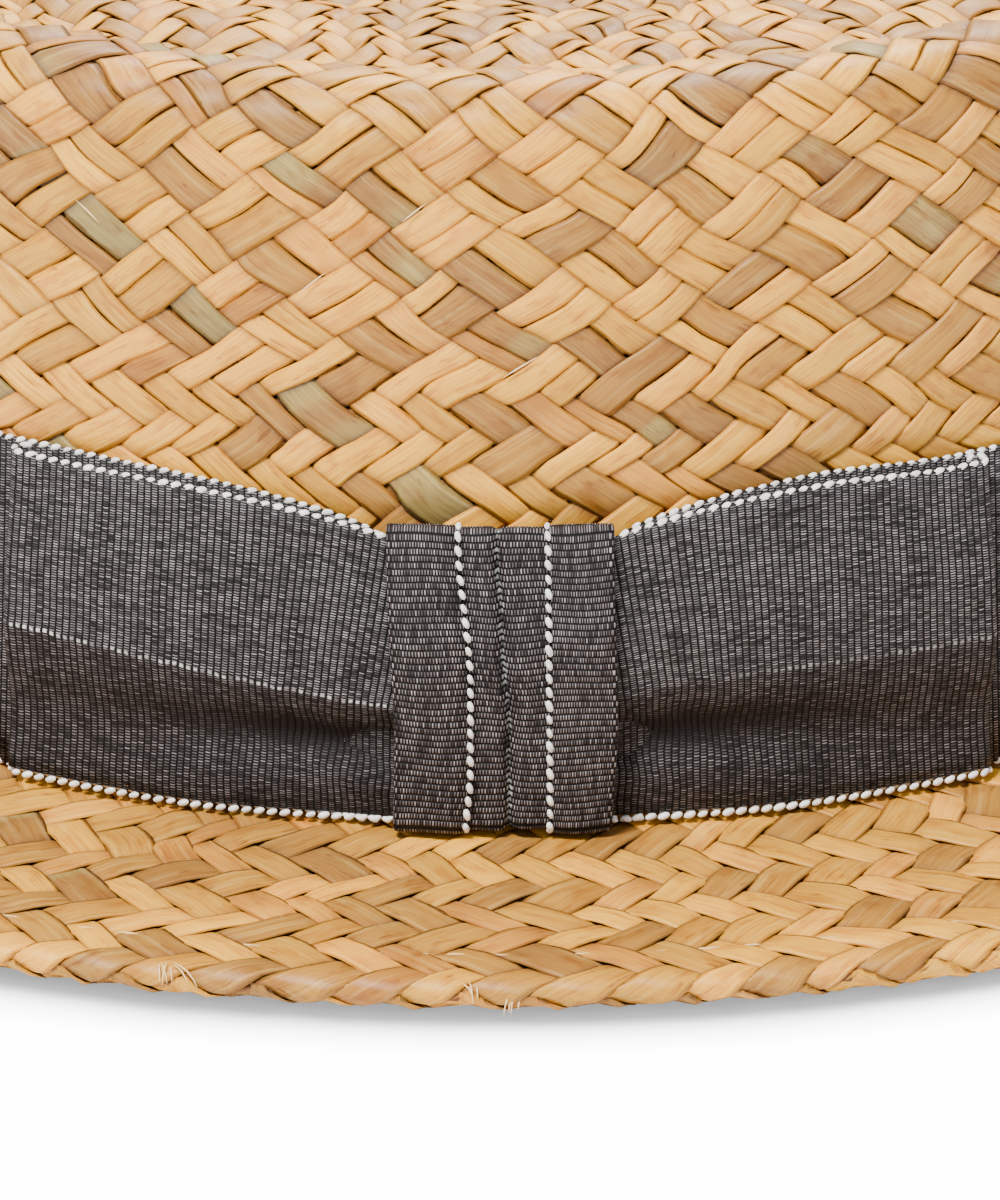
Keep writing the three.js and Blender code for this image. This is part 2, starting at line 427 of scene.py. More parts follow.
def round_plait():
    """Lays straws of one lay round the oval, each over and under those of the other lay."""
    tree = new_tree("round_plait", ROUND_PLAIT_INPUTS)
    straws = given(tree, "Straws")
    lay = given(tree, "Lay")
    first_row = given(tree, "First Row")
    straw = named(tree, "straw")
    along, across, thick = parts(tree, add(tree, "GeometryNodeInputPosition").outputs[0])

    # The straw's place in the plait, counted in straws of its own lay and of the other lay
    other = straw + 0.5 - lay * (first_row * 2 + along)
    own = own_place(tree, straw, other, across)
    amount = given(tree, "Uneven Width")
    own_placed = uneven(tree, own, straws, given(tree, "Own Seed"), amount)
    other_placed = uneven(tree, other, straws, given(tree, "Other Seed"), amount)
    around = (own_placed + other_placed) / 2
    turn = around / straws * math.tau
    row = lay * (own_placed - other_placed) / 2

    # Soft waves of the whole plait, the same for both lays
    ring = vector(tree, turn.calc("COSINE") * 2, turn.calc("SINE") * 2, row * 0.12)
    row = row + unevenness(tree, ring, 2.2, 0.9, -0.5)
    ring_beside = vector(tree, turn.calc("COSINE") * 2, turn.calc("SINE") * 2, row * 0.12 + 9)
    turn = turn + unevenness(tree, ring_beside, 2.6, 0.9, -0.5) / straws * math.tau

    # Height over the plait's middle
    fine_from = given(tree, "Fine Rows From")
    height, wave = height_in_plait(tree, straw, other, across, thick, fine_from)
    ends = along.ease(0, 1.2) * (given(tree, "Crossings") - along).ease(0, 1.2)
    height = height - (ends * -1 + 1) * given(tree, "Tuck")

    # The outline at this row
    outline = add(tree, "GeometryNodeObjectInfo", (("Object", given(tree, "Outline")),))
    place = row / ROW_STEP
    low = place.floor()
    share = place - low

    def read(kind, index):
        node = add(
            tree,
            "GeometryNodeSampleIndex",
            (("Geometry", outline.outputs["Geometry"]), ("Value", kind), ("Index", index)),
            data_type="FLOAT_VECTOR",
            clamp=True,
        )
        return parts(tree, node.outputs[0])

    def between(kind):
        pairs = zip(read(kind, low), read(kind, low + 1))
        return [share.mix(first, second) for first, second in pairs]

    offset, _, level = between(add(tree, "GeometryNodeInputPosition").outputs[0])
    outward = add(
        tree,
        "GeometryNodeInputNamedAttribute",
        (("Name", "outward"),),
        data_type="FLOAT_VECTOR",
    )
    out, _, up = between(result(outward).socket)
    offset = offset + out * height
    level = level + up * height

    # The oval: this correction keeps the straws the same distance apart all round it
    flatness = (oval[0] ** 2 - oval[1] ** 2) / (oval[0] ** 2 + oval[1] ** 2) / 4
    angle = turn - math.pi / 2
    angle = angle + (angle * 2).calc("SINE") * flatness
    x = (given(tree, "Half Length") + offset) * angle.calc("COSINE")
    y = (given(tree, "Half Width") + offset) * angle.calc("SINE")

    finish_tree(tree, lay_straws(tree, straw, wave, vector(tree, x, y, level)))
    return tree


def ramp(tree, value, colours):
    """A colour for each value from 0 to 1. colours holds pairs of a place and a colour."""
    node = tree.nodes.new("ShaderNodeValToRGB")
    elements = node.color_ramp.elements
    while len(elements) < len(colours):
        elements.new(1)
    for element, (place, colour) in zip(elements, colours):
        element.position = place
        element.color = (*colour, 1)
    plug(tree, value, node.inputs[0])
    return node.outputs[0]


def blend_colours(tree, kind, share, first, second):
    node = add(tree, "ShaderNodeMix", data_type="RGBA", blend_type=kind)
    plug(tree, share, node.inputs[0])
    for socket, value in ((node.inputs[6], first), (node.inputs[7], second)):
        plug(tree, (*value, 1) if isinstance(value, tuple) else value, socket)
    return node.outputs[2]


def new_material(name, **settings):
    """A material, its node tree and its surface, with the surface's settings."""
    material = bpy.data.materials.new(name)
    material.use_nodes = True
    surface = material.node_tree.nodes["Principled BSDF"]
    for label, value in settings.items():
        surface.inputs[label.replace("_", " ")].default_value = value
    return material, material.node_tree, surface


def raise_relief(tree, surface, height, strength, distance):
    """Fine relief on a surface."""
    bump = add(tree, "ShaderNodeBump", (("Height", height), ("Strength", strength), ("Distance", distance)))
    tree.links.new(bump.outputs[0], surface.inputs["Normal"])


STRAW_COLOURS = (
    (0.00, (0.24, 0.182, 0.058)),
    (0.07, (0.32, 0.230, 0.062)),
    (0.10, (0.26, 0.124, 0.026)),
    (0.28, (0.39, 0.187, 0.025)),
    (0.50, (0.56, 0.276, 0.022)),
    (0.70, (0.81, 0.408, 0.031)),
    (0.86, (0.77, 0.360, 0.038)),
    (1.00, (0.38, 0.160, 0.023)),
)


def straw_material():
    """Dried straw: warm tan, finely grained along its length and a little glossy, with painted shade where
    one straw goes under another and patchy painted shade along its sides. Some straws are greener, browner
    or redder than the rest."""
    material, tree, surface = new_material("plaited_straw", Specular_IOR_Level=0.3)
    tint = result(add(tree, "ShaderNodeAttribute", attribute_name="tint"), "Fac")
    rise = result(add(tree, "ShaderNodeAttribute", attribute_name="rise"), "Fac")
    uv = add(tree, "ShaderNodeUVMap", uv_map="grain").outputs[0]
    along, across, _ = parts(tree, uv)
    place = add(tree, "ShaderNodeTexCoord").outputs["Object"]

    def noise(position, scale, detail=2.0, roughness=0.5):
        node = add(tree, "ShaderNodeTexNoise", (("Vector", position), ("Scale", scale)))
        node.inputs["Detail"].default_value = detail
        node.inputs["Roughness"].default_value = roughness
        return result(node)

    # Colour of the whole straw, drifting slowly along it
    drift = noise(vector(tree, along * 0.22, tint * 91, 0), 1.0)
    shade = tint * 0.5 + 0.5 + (drift - 0.5) * 0.5
    colour = ramp(tree, shade, STRAW_COLOURS)

    # Grain: fine lines along the straw, paler veins, soft stains, and patchy painted shade along its sides
    grain = noise(vector(tree, along * 0.5, across * 7, tint * 57), 1.0, 4.0, 0.7)
    veins = noise(vector(tree, along * 0.2, across * 3.2, tint * 23), 1.0, 2.0)
    stains = noise(vector(tree, along * 1.1, across * 1.2, tint * 71), 1.0, 3.0)
    rim = across.calc("ABSOLUTE").ease(0.74, 1.0)
    colour = blend_colours(tree, "MULTIPLY", grain.ease(0.62, 0.3) * 0.75, colour, (0.70, 0.54, 0.40))
    colour = blend_colours(tree, "SCREEN", veins.ease(0.5, 0.72) * 0.2, colour, (0.55, 0.42, 0.15))
    colour = blend_colours(tree, "MULTIPLY", stains.ease(0.48, 0.7) * 0.65, colour, (0.74, 0.57, 0.43))
    # Painted shade: patchy brown darkening along the straw's sides
    colour = blend_colours(tree, "MULTIPLY", rim * stains.ease(0.62, 0.4) * 0.6, colour, (0.66, 0.44, 0.28))

    # Thin brown splits, small brown spots, and painted shade where a straw goes under another
    split = noise(vector(tree, along * 0.22, across * 2.6, tint * 37), 1.0, 1.0) - 0.5
    split = split.calc("ABSOLUTE").ease(0.016, 0.005) * stains.ease(0.5, 0.56)
    colour = blend_colours(tree, "MULTIPLY", split * 0.55, colour, (0.42, 0.27, 0.20))
    # Painted shade: the straw's colour is darkened where it dives under the other lay
    under = rise.ease(1.02, -0.5)
    colour = blend_colours(tree, "MULTIPLY", under * 0.95, colour, (0.44, 0.38, 0.72))
    spots = noise(place, 120.0, 2.0).ease(0.71, 0.76)
    colour = blend_colours(tree, "MULTIPLY", spots * 0.6, colour, (0.42, 0.25, 0.14))
    tree.links.new(colour, surface.inputs["Base Color"])

    plug(tree, grain * 0.2 + 0.34 + under * 0.25, surface.inputs["Roughness"])
    raise_relief(tree, surface, grain * 0.6 + veins * 0.5 + stains * 0.8, 0.6, 0.15 * MM)
    return material


straw_finish = straw_material()
plait = round_plait()
ALL_FINE = -1.0  # a plait with this value is a fine herringbone in all its rows


def both_lays(name, tree, crossings, seeds, values):
    """Plaits the straws that lean to the right with those that lean to the left."""
    for side, lay, (own, other) in (("right", 1.0, seeds), ("left", -1.0, seeds[::-1])):
        lay_values = {
            "Crossings": float(crossings),
            "Lay": lay,
            "Thickness": STRAW_THICKNESS,
            "Own Seed": own,
            "Other Seed": other,
            "Material": straw_finish,
        }
        straws = grow(f"{name}_{side}", straight_straw(crossings), tree, {**values, **lay_values})
        settle(straws, "plaited_straw", "straw_body")


plait_top = body_high.z - STRAW_SETTING
tip_radius = TIP_EDGE_RADIUS - STRAW_SETTING
tip_edge = -CROWN_LEAN - TIP_EDGE_RADIUS
crown_line, crown_rows = plait_outline(
    "crown_outline",
    [
        (tip_edge - TIP_REACH, plait_top),
        *arc((tip_edge, wall_top), tip_radius, 90, 0),
        (-STRAW_SETTING, brim_top + CROWN_FOOT),
    ],
    CROWN_STRAWS,
    CROWN_STRAW_WIDTH,
)
round_values = {
    "First Row": FIRST_ROW,
    "Half Length": float(oval[0]),
    "Half Width": float(oval[1]),
}
both_lays(
    "crown_straws",
    plait,
    int(2 * (crown_rows - 2 * FIRST_ROW)),
    (11, 12),
    {
        **round_values,
        "Straws": CROWN_STRAWS,
        "Fine Rows From": 10.4,
        "Fill": 0.965,
        "Uneven Width": 0.27,
        "Rise": STRAW_RISE,
        "Arch": 0.6,
        "Tuck": 0.9 * MM,
        "Outline": crown_line,
        "Least Tint": -0.96,
    },
)

# Brim straws: a few straws more than in the crown turn outwards at its foot. They lie flatter the
# further out they are. At the rim the edge is folded under as a hem and sewn.
BRIM_STRAWS = 112
BRIM_STRAW_WIDTH = 4.25 * MM
BRIM_STRAW_RISE = 0.31 * MM
HEM_WIDTH = 14.0 * MM
HEM_FOLD_RADIUS = 1.2 * MM
LAP_HEIGHT = 8.0 * MM  # the brim's straws go up inside the crown by this much
LAP_SETTING = 2.05 * MM
FOOT_RADIUS = 2.2 * MM

brim_level = brim_top - STRAW_SETTING
hem_level = brim_level - 2 * HEM_FOLD_RADIUS
brim_reach = body_high.x - oval[0] - STRAW_SETTING + 0.1 * MM
brim_line, brim_rows = plait_outline(
    "brim_outline",
    [
        (-LAP_SETTING, brim_level + LAP_HEIGHT),
        *arc((FOOT_RADIUS - LAP_SETTING, brim_level + FOOT_RADIUS), FOOT_RADIUS, 180, 270),
        *arc((brim_reach - HEM_FOLD_RADIUS, brim_level - HEM_FOLD_RADIUS), HEM_FOLD_RADIUS, 90, -90),
        (brim_reach - HEM_WIDTH, hem_level),
    ],
    BRIM_STRAWS,
    BRIM_STRAW_WIDTH,
)
both_lays(
    "brim_straws",
    plait,
    int(2 * (brim_rows - 2 * FIRST_ROW)),
    (21, 22),
    {
        **round_values,
        "Straws": BRIM_STRAWS,
        "Fine Rows From": ALL_FINE,
        "Fill": 1.10,
        "Uneven Width": 0.2,
        "Rise": BRIM_STRAW_RISE,
        "Arch": 1.0,
        "Tuck": 0.3 * MM,
        "Outline": brim_line,
        "Least Tint": -0.8,
    },
)

# Tip straws: the flat top is plaited square, from its middle outwards, of slightly finer straws
# that run at 45 degrees to the bow. At its edge the crown's straws lie over it.
TIP_STRAW_WIDTH = 2.6 * MM
TIP_STRAW_RISE = 0.30 * MM
TIP_LAP = 9.0 * MM  # how far the square plait goes on under the crown's straws
TIP_SINK = 1.15 * MM
GATHERED_WITHIN = 0.001 * MM
NO_RETURN = 1000.0  # more straws than any flat plait has, because it doesn't come round again

FLAT_PLAIT_INPUTS = (
    *PLAIT_INPUTS,
    ("Straw Width", "Float"),
    ("Level", "Float"),
    ("Sink", "Float"),
)


def flat_plait():
    """Lays straws of one lay side by side over a flat oval, over and under those of the other."""
    tree = new_tree("flat_plait", FLAT_PLAIT_INPUTS)
    lay = given(tree, "Lay")
    width = given(tree, "Straw Width")
    straw = named(tree, "straw")
    along, across, thick = parts(tree, add(tree, "GeometryNodeInputPosition").outputs[0])

    # A straw ends where the oval ends: its points past the end gather on its last crossing
    long, wide = given(tree, "Half Length"), given(tree, "Half Width")
    first_lay = lay * 0.5 + 0.5
    mean_square = (long * long + wide * wide) / 2
    lean_square = (long * long - wide * wide) / 2
    side = (straw + 0.5 - given(tree, "Straws") / 2) * width
    middle = given(tree, "Crossings") / 2
    centre = middle - side * lean_square / mean_square / width
    reach = (mean_square - side * side).calc("MAXIMUM", 0.0).calc("SQRT")
    reach = reach * long * wide / mean_square / width
    start = (centre - reach).calc("CEIL").calc("MINIMUM", centre.floor() - 1) + 0.1
    end = (centre + reach).floor().calc("MAXIMUM", centre.floor() + 1) - 0.1
    other = along.calc("MAXIMUM", start).calc("MINIMUM", end)

    # Height over the plait's middle
    height, wave = height_in_plait(tree, straw, other, across, thick, ALL_FINE)

    # Place on the tip, with soft waves of the whole plait
    own = own_place(tree, straw, other, across)
    amount = given(tree, "Uneven Width")
    own = uneven(tree, own, NO_RETURN, given(tree, "Own Seed"), amount)
    own = own - given(tree, "Straws") / 2
    other = uneven(tree, other, NO_RETURN, given(tree, "Other Seed"), amount) - middle
    first = first_lay.mix(own, other)
    second = first_lay.mix(other, own)
    x = (first - second) * math.sqrt(0.5)
    y = (first + second) * math.sqrt(0.5)
    shift = unevenness(tree, vector(tree, x * 0.17, y * 0.17, 3.0), 1.0, 3.4, -0.5)
    shift_beside = unevenness(tree, vector(tree, x * 0.17, y * 0.17, 8.0), 1.0, 3.4, -0.5)
    x = (x + shift) * width
    y = (y + shift_beside) * width
    far_x = x / long
    far_y = y / wide
    far = (far_x * far_x + far_y * far_y).calc("SQRT")
    level = given(tree, "Level") + height - far.ease(0.83, 0.92) * given(tree, "Sink")

    laid = lay_straws(tree, straw, wave, vector(tree, x, y, level))
    near_points = (("Geometry", laid), ("Distance", GATHERED_WITHIN))
    merged = add(tree, "GeometryNodeMergeByDistance", near_points)
    # The left lay's straws are mirrored on their way here, so their faces are turned back
    outward = add(tree, "GeometryNodeFlipFaces", (("Mesh", result(merged)),))
    plug(tree, lay.calc("LESS_THAN", 0.0), outward.inputs["Selection"])
    finish_tree(tree, result(outward))
    return tree


tip_half_length = oval[0] + tip_edge - TIP_REACH + TIP_LAP
tip_half_width = oval[1] + tip_edge - TIP_REACH + TIP_LAP
tip_straws = int(2 * math.hypot(tip_half_length, tip_half_width) / math.sqrt(2) / TIP_STRAW_WIDTH)
both_lays(
    "tip_straws",
    flat_plait(),
    tip_straws,
    (31, 32),
    {
        "Straws": tip_straws,
        "Straw Width": TIP_STRAW_WIDTH,
        "Fill": 1.01,
        "Uneven Width": 0.36,
        "Rise": TIP_STRAW_RISE,
        "Arch": 1.0,
        "Level": plait_top,
        "Sink": TIP_SINK,
        "Half Length": float(tip_half_length),
        "Half Width": float(tip_half_width),
        "Least Tint": -0.6,
    },
)

# Hem stitches: the folded edge of the brim is sewn down with long stitches of pale thread.
STITCH_PITCH = 4.6 * MM
STITCH_LENGTH = 2.6 * MM
STITCH_WIDTH = 0.3 * MM
STITCH_LIFT = 0.36 * MM  # over the middle of the brim's plait
HEM_SEAM = 34.6 * MM

BEAD_ROW_INPUTS = (
    ("Pitch", "Float"),
    ("Bead", "Object"),
    ("Unevenness", "Float"),
    ("Material", "Material"),
)


def bead_row():
    """Sets copies of a bead along lines, each turned with the line."""
    tree = new_tree("bead_row", BEAD_ROW_INPUTS)
    path = add(tree, "GeometryNodeMeshToCurve")
    plug(tree, given(tree, "Geometry"), path.inputs[0])
    even = add(tree, "GeometryNodeResampleCurve", (("Curve", result(path)),), mode="LENGTH")
    plug(tree, given(tree, "Pitch"), even.inputs["Length"])
    tangent = add(tree, "GeometryNodeInputTangent").outputs[0]
    turn = add(tree, "FunctionNodeAlignRotationToVector", (("Vector", tangent),), axis="X")
    bead = add(tree, "GeometryNodeObjectInfo", (("Object", given(tree, "Bead")),))
    spread = given(tree, "Unevenness")
    size = add(tree, "FunctionNodeRandomValue", (("Min", 0.0), ("Seed", 5)))
    size = (result(size) - 0.5) * spread + 1
    placed = add(tree, "GeometryNodeInstanceOnPoints", (("Points", result(even)), ("Scale", size)))
    plug(tree, bead.outputs["Geometry"], placed.inputs["Instance"])
    tree.links.new(turn.outputs[0], placed.inputs["Rotation"])
    finish_tree(tree, result(placed))
    return tree


def line_mesh(name, lines):
    """One mesh of open or closed lines of points."""
    points, edges = [], []
    for line, closed in lines:
        first = len(points)
        points += [tuple(p) for p in line]
        edges += [(first + i, first + i + 1) for i in range(len(line) - 1)]
        if closed:
            edges.append((len(points) - 1, first))
    mesh = bpy.data.meshes.new(name)
    mesh.from_pydata(points, edges, [])
    return mesh


def round_bead(name, length, width, slant=0.0):
    """A small long bead. slant turns it in the plane of the cloth."""
    points = [(-length / 2, 0, 0)]
    for share in (-0.72, -0.2, 0.4, 0.85):
        radius = width / 2 * math.sqrt(1 - share**2)
        for k in range(6):
            angle = math.tau * k / 6
            points.append((share * length / 2, radius * math.cos(angle), radius * math.sin(angle)))
    points.append((length / 2, 0, 0))
    last = len(points) - 1
    faces = [(0, 1 + (k + 1) % 6, 1 + k) for k in range(6)]
    for ring in range(3):
        a, b = 1 + 6 * ring, 7 + 6 * ring
        faces += [(a + k, a + (k + 1) % 6, b + (k + 1) % 6, b + k) for k in range(6)]
    faces += [(last, last - 6 + k, last - 6 + (k + 1) % 6) for k in range(6)]
    turn, rise = math.cos(slant), math.sin(slant)
    points = [(x * turn - z * rise, y, x * rise + z * turn) for x, y, z in points]
    mesh = bpy.data.meshes.new(name)
    mesh.from_pydata(points, [], faces)
    return bpy.data.objects.new(name, mesh)


def new_effect(name, inputs, outputs):
    """A shader node group with the named inputs and outputs."""
    tree = bpy.data.node_groups.new(name, "ShaderNodeTree")
    for way, sockets in (("INPUT", inputs), ("OUTPUT", outputs)):
        for label, kind in sockets:
            tree.interface.new_socket(label, in_out=way, socket_type="NodeSocket" + kind)
    tree.nodes.new("NodeGroupInput")
    tree.nodes.new("NodeGroupOutput")
    return tree


def put_out(tree, **values):
    """Links the results of an effect to the group's outputs."""
    output = next(n for n in tree.nodes if n.bl_idname == "NodeGroupOutput")
    for label, value in values.items():
        plug(tree, value, output.inputs[label])


def thread_tone():
    """Cotton is a little uneven in tone."""
    tree = new_effect("thread_tone", (("Thread", "Color"), ("Shadow", "Color")), (("Tone", "Color"),))
    place = add(tree, "ShaderNodeTexCoord").outputs["Object"]
    noise = add(tree, "ShaderNodeTexNoise", (("Vector", place), ("Scale", 900.0)))
    share = result(noise).ease(0.35, 0.6)
    light, dark = given(tree, "Thread").socket, given(tree, "Shadow").socket
    put_out(tree, Tone=blend_colours(tree, "MIX", share, dark, light))
    return tree


cotton = thread_tone()


def thread_material(name, colour):
    """Cotton thread with a soft sheen."""
    material, tree, surface = new_material(name, Roughness=0.75, Sheen_Weight=0.3)
    tone = add(tree, "ShaderNodeGroup", node_tree=cotton)
    tone.inputs["Thread"].default_value = (*colour, 1)
    tone.inputs["Shadow"].default_value = (*(c * 0.72 for c in colour), 1)
    tree.links.new(tone.outputs["Tone"], surface.inputs["Base Color"])
    return material


def oval_line(offset, level, count):
    angles = np.linspace(0, math.tau, count, endpoint=False)
    x = (oval[0] + offset) * np.cos(angles)
    y = (oval[1] + offset) * np.sin(angles)
    return np.stack([x, y, np.full(count, level)], axis=1)


edge_of_beads = bead_row()
hem_thread = thread_material("hem_thread", (0.78, 0.52, 0.20))
stitches = grow(
    "hem_stitches",
    line_mesh("hem_seam", [(oval_line(HEM_SEAM, brim_level + STITCH_LIFT, 400), True)]),
    edge_of_beads,
    {
        "Pitch": STITCH_PITCH,
        "Bead": round_bead("stitch", STITCH_LENGTH, STITCH_WIDTH),
        "Unevenness": 0.3,
        "Material": hem_thread,
    },
)
settle(stitches, "plaited_straw")

# Split straws: here and there a straw has split in plaiting or in wear. Thin pale slivers stand
# off it on the crown's wall, and small tufts of them at the rim.
SLIVER_WIDTH = 0.2 * MM
WALL_SLIVERS = (  # place across, height and length in mm, and slope in degrees
    (-20.7, 66.0, 4.2, 41),
    (-9.4, 74.7, 3.4, 40),
    (2.3, 57.0, 5.0, 32),
    (-45.6, 71.4, 3.4, -41),
)
RIM_TUFTS = (  # place across in mm, count of slivers, lean to the right in degrees, and drop in mm
    (-36.4, 6, 20, 0.0),
    (-3.6, 3, 35, 0.3),
    (1.3, 4, 10, 1.7),
)
TUFT_WIDTH = 2.2  # in mm
TUFT_PATH = ((-1.0, 0.85), (-0.4, 0.8), (0.2, 0.5), (0.7, -0.2), (1.0, -1.0))  # out and up, in mm

SLIVER_INPUTS = (("Width", "Float"), ("Material", "Material"))


def slivers_on_lines():
    """Makes each line a thin sliver that runs out to a point at both ends."""
    tree = new_tree("slivers_on_lines", SLIVER_INPUTS)
    path = add(tree, "GeometryNodeMeshToCurve")
    plug(tree, given(tree, "Geometry"), path.inputs[0])
    share = result(add(tree, "GeometryNodeSplineParameter"), "Factor")
    taper = (share * (share * -1 + 1) * 3.6 + 0.1) * given(tree, "Width") / 2
    section = add(tree, "GeometryNodeCurvePrimitiveCircle", (("Resolution", 6), ("Radius", 1.0)))
    sliver = add(tree, "GeometryNodeCurveToMesh", (("Curve", result(path)), ("Scale", taper)))
    plug(tree, result(section), sliver.inputs["Profile Curve"])
    sliver.inputs["Fill Caps"].default_value = True
    finish_tree(tree, result(sliver))
    return tree


def in_front(offset, across, level):
    """A point in front of the hat, at an offset from the foot of the crown."""
    reach = math.sqrt(1 - (across / (oval[0] + offset)) ** 2)
    return across, -(oval[1] + offset) * reach, level


sliver_lines = []
for across, height, length, slope in WALL_SLIVERS:
    line = []
    for share in np.linspace(-0.5, 0.5, 6):
        x = (across + share * length * math.cos(math.radians(slope))) * MM
        z = (height + share * length * math.sin(math.radians(slope))) * MM
        lean = CROWN_LEAN * (z - brim_top) / (wall_top - brim_top)
        line.append(in_front((0.1 + 0.5 * share**2) * MM - lean, x, z))
    sliver_lines.append((line, False))
draw = np.random.default_rng(7)
for across, count, lean, drop in RIM_TUFTS:
    for start in across + TUFT_WIDTH * draw.uniform(-0.5, 0.5, count):
        slope = math.tan(math.radians(lean + draw.uniform(-35, 35)))
        stretch = draw.uniform(0.5, 1.2)
        line = []
        for out, up in TUFT_PATH:
            x = start + (out - TUFT_PATH[0][0]) * slope
            level = brim_level + (up * stretch - drop) * MM
            line.append(in_front(brim_reach + out * stretch * MM, x * MM, level))
        sliver_lines.append((line, False))
split_straw, _, _ = new_material("split_straw", Base_Color=(0.76, 0.52, 0.25, 1), Roughness=0.5)
slivers = grow(
    "split_straw_slivers",
    line_mesh("sliver_lines", sliver_lines),
    slivers_on_lines(),
    {"Width": SLIVER_WIDTH, "Material": split_straw},
)
settle(slivers, "plaited_straw")

# Ribbon band: ribbed ribbon 40 mm wide stands round the foot of the crown. Its ribs run up and
# down, and both of its edges have small white loops. Behind the bow it is pulled down.
RIBBON_WIDTH = 40.0
RIBBON_THICKNESS = 0.5
RIB = 0.75
RIB_PHASES = np.array([0.0, 0.22, 0.5, 0.78])
RIB_DEPTHS = np.array([-0.10, -0.01, 0.02, -0.01])
LOOP_PITCH = 1.5
LOOP_LENGTH = 1.32
LOOP_WIDTH = 0.77
LOOP_SLANT = math.radians(20)
THREAD_PITCH = 0.33
BAND_SETTING = -0.7  # the middle of the band's cloth, from the CAD band's face
GATHER_DIP = 7.2  # how far the knot pulls down the top edges of the band and the bow
GATHER_REACH = 15.0
GATHER_HALF_WIDTH = 11.5
SAG = 1.3

half_length, half_width = oval / MM
ribbon_foot = band_low.z / MM
lean_rate = CROWN_LEAN / (wall_top - brim_top)


def place_out(angle, out, z):
    """A point round the crown, out by a distance in mm from the CAD band's face. In metres."""
    lean = -(z - brim_top / MM) * lean_rate
    offset = lean + (RIBBON_GAP + RIBBON_WALL) / MM + out
    x = (half_length + offset) * np.cos(angle)
    y = (half_width + offset) * np.sin(angle)
    return np.stack(np.broadcast_arrays(x, y, z), axis=-1) * MM


def place_across(across, out, z):
    """The same in front of the crown, by the distance across from the knot's middle."""
    return place_out(np.arcsin(across / half_length) - math.pi / 2, out, z)


def bell(value, middle, width):
    return np.exp(-(((value - middle) / width) ** 2))


def smooth(low, high, value):
    share = np.clip((value - low) / (high - low), 0, 1)
    return share * share * (3 - 2 * share)


def gathered(across):
    """How far down the ribbons' top edges are, at a distance from the knot's middle. The knot
    pulls them down, and to the right the bow sags a little."""
    beyond = np.maximum(np.abs(across) - GATHER_HALF_WIDTH, 0)
    return GATHER_DIP * np.exp(-beyond / GATHER_REACH) + SAG * smooth(34, 53, across)


def rib_columns(count):
    """Places along a ribbon, in ribs, and how far its face lies in or out at each."""
    places = (np.arange(count)[:, None] + RIB_PHASES).ravel()
    return places, np.tile(RIB_DEPTHS, count)


def ribbon_ring(name, front, back, along, front_across, back_across, material):
    """Cloth closed to a ring. front and back are its faces, as points by column and row."""
    columns = len(front)
    points = np.concatenate([front.reshape(-1, 3), back.reshape(-1, 3)])
    faces, places = [], []

    def strip(first, second, first_row, second_row, first_across, second_across):
        ring = np.arange(columns)
        beside = (ring + 1) % columns
        corners = [
            first + ring * first_row,
            first + beside * first_row,
            second + beside * second_row,
            second + ring * second_row,
        ]
        faces.append(np.stack(corners, axis=1))
        u = np.stack([along[:-1], along[1:], along[1:], along[:-1]], axis=1)
        v = np.broadcast_to([first_across, first_across, second_across, second_across], u.shape)
        places.append(np.stack([u, v], axis=2))

    f, b = front.shape[1], back.shape[1]
    base = columns * f
    for row in range(f - 1):
        strip(row, row + 1, f, f, front_across[row], front_across[row + 1])
    for row in range(b - 1):
        strip(base + row + 1, base + row, b, b, back_across[row + 1], back_across[row])
    strip(base, 0, b, f, back_across[0], front_across[0])
    strip(f - 1, base + b - 1, f, b, front_across[-1], back_across[-1])
    mesh = bpy.data.meshes.new(name)
    mesh.from_pydata(points.tolist(), [], np.concatenate(faces).tolist())
    weave = mesh.uv_layers.new(name="weave")
    weave.data.foreach_set("uv", np.concatenate(places).astype(np.float32).ravel())
    mesh.shade_smooth()
    mesh.materials.append(material)
    ring_object = bpy.data.objects.new(name, mesh)
    bpy.context.scene.collection.objects.link(ring_object)
    return ring_object


RIBBON_WEAVE_INPUTS = (
    ("Warp", "Color"),
    ("Weft", "Color"),
    ("Worn", "Color"),
    ("Fold Line", "Float"),
    ("Shaded", "Float"),
    ("Wear", "Float"),
)


